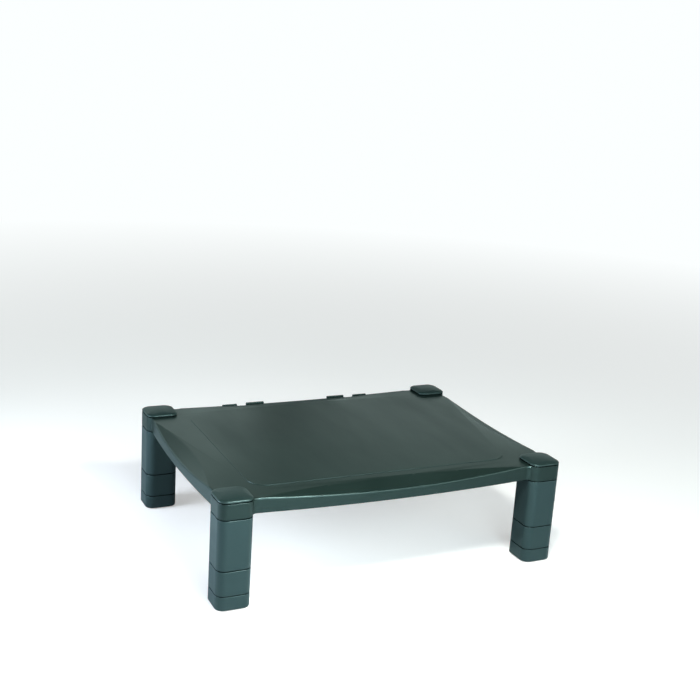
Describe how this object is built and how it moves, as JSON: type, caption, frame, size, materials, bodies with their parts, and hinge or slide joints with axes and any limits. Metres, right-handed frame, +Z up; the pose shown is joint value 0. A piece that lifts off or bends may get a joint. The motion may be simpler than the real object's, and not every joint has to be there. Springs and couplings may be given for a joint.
{
  "type": "stackable monitor riser",
  "caption": "Moulded desk riser: a bowed rectangular platform with domed corner caps on hollow square legs that stack from plug-in sections, with an open bay below.",
  "frame": {"origin": "centre of the footprint, on the desk surface under the foot pads", "axes": "+X to the user's right along the long side, +Y to the rear where the cable notches are, +Z up"},
  "size_m": [0.432, 0.326, 0.1301],
  "materials": {
    "platform_plastic": "semi-matte moulded charcoal plastic with a fine grain",
    "cap_plastic": "semi-matte moulded charcoal plastic, slightly smoother than the deck",
    "leg_plastic": "semi-matte moulded charcoal plastic with a blue-grey cast",
    "pad_rubber": "matte black rubber"
  },
  "bodies": {
    "platform": {"platform": "platform_plastic"},
    "corner_cap_front_left": {"corner_cap_front_left": "cap_plastic"},
    "tall_column_front_left": {"tall_column_front_left": "leg_plastic"},
    "short_column_front_left": {"short_column_front_left": "leg_plastic"},
    "foot_front_left": {"foot_front_left": "leg_plastic", "foot_pad_front_left": "pad_rubber"},
    "corner_cap_front_right": {"corner_cap_front_right": "cap_plastic"},
    "tall_column_front_right": {"tall_column_front_right": "leg_plastic"},
    "short_column_front_right": {"short_column_front_right": "leg_plastic"},
    "foot_front_right": {"foot_front_right": "leg_plastic", "foot_pad_front_right": "pad_rubber"},
    "corner_cap_rear_left": {"corner_cap_rear_left": "cap_plastic"},
    "tall_column_rear_left": {"tall_column_rear_left": "leg_plastic"},
    "short_column_rear_left": {"short_column_rear_left": "leg_plastic"},
    "foot_rear_left": {"foot_rear_left": "leg_plastic", "foot_pad_rear_left": "pad_rubber"},
    "corner_cap_rear_right": {"corner_cap_rear_right": "cap_plastic"},
    "tall_column_rear_right": {"tall_column_rear_right": "leg_plastic"},
    "short_column_rear_right": {"short_column_rear_right": "leg_plastic"},
    "foot_rear_right": {"foot_rear_right": "leg_plastic", "foot_pad_rear_right": "pad_rubber"}
  },
  "joints": [
    {"name": "cap_pull_front_left", "type": "slide", "parent": "platform", "child": "corner_cap_front_left", "axis": [0, 0, 1], "range_m": [0, 0.012]},
    {"name": "tall_column_pull_front_left", "type": "slide", "parent": "platform", "child": "tall_column_front_left", "axis": [0, 0, -1], "range_m": [0, 0.02]},
    {"name": "short_column_pull_front_left", "type": "slide", "parent": "tall_column_front_left", "child": "short_column_front_left", "axis": [0, 0, -1], "range_m": [0, 0.02]},
    {"name": "foot_pull_front_left", "type": "slide", "parent": "short_column_front_left", "child": "foot_front_left", "axis": [0, 0, -1], "range_m": [0, 0.02]},
    {"name": "cap_pull_front_right", "type": "slide", "parent": "platform", "child": "corner_cap_front_right", "axis": [0, 0, 1], "range_m": [0, 0.012]},
    {"name": "tall_column_pull_front_right", "type": "slide", "parent": "platform", "child": "tall_column_front_right", "axis": [0, 0, -1], "range_m": [0, 0.02]},
    {"name": "short_column_pull_front_right", "type": "slide", "parent": "tall_column_front_right", "child": "short_column_front_right", "axis": [0, 0, -1], "range_m": [0, 0.02]},
    {"name": "foot_pull_front_right", "type": "slide", "parent": "short_column_front_right", "child": "foot_front_right", "axis": [0, 0, -1], "range_m": [0, 0.02]},
    {"name": "cap_pull_rear_left", "type": "slide", "parent": "platform", "child": "corner_cap_rear_left", "axis": [0, 0, 1], "range_m": [0, 0.012]},
    {"name": "tall_column_pull_rear_left", "type": "slide", "parent": "platform", "child": "tall_column_rear_left", "axis": [0, 0, -1], "range_m": [0, 0.02]},
    {"name": "short_column_pull_rear_left", "type": "slide", "parent": "tall_column_rear_left", "child": "short_column_rear_left", "axis": [0, 0, -1], "range_m": [0, 0.02]},
    {"name": "foot_pull_rear_left", "type": "slide", "parent": "short_column_rear_left", "child": "foot_rear_left", "axis": [0, 0, -1], "range_m": [0, 0.02]},
    {"name": "cap_pull_rear_right", "type": "slide", "parent": "platform", "child": "corner_cap_rear_right", "axis": [0, 0, 1], "range_m": [0, 0.012]},
    {"name": "tall_column_pull_rear_right", "type": "slide", "parent": "platform", "child": "tall_column_rear_right", "axis": [0, 0, -1], "range_m": [0, 0.02]},
    {"name": "short_column_pull_rear_right", "type": "slide", "parent": "tall_column_rear_right", "child": "short_column_rear_right", "axis": [0, 0, -1], "range_m": [0, 0.02]},
    {"name": "foot_pull_rear_right", "type": "slide", "parent": "short_column_rear_right", "child": "foot_rear_right", "axis": [0, 0, -1], "range_m": [0, 0.02]}
  ]
}
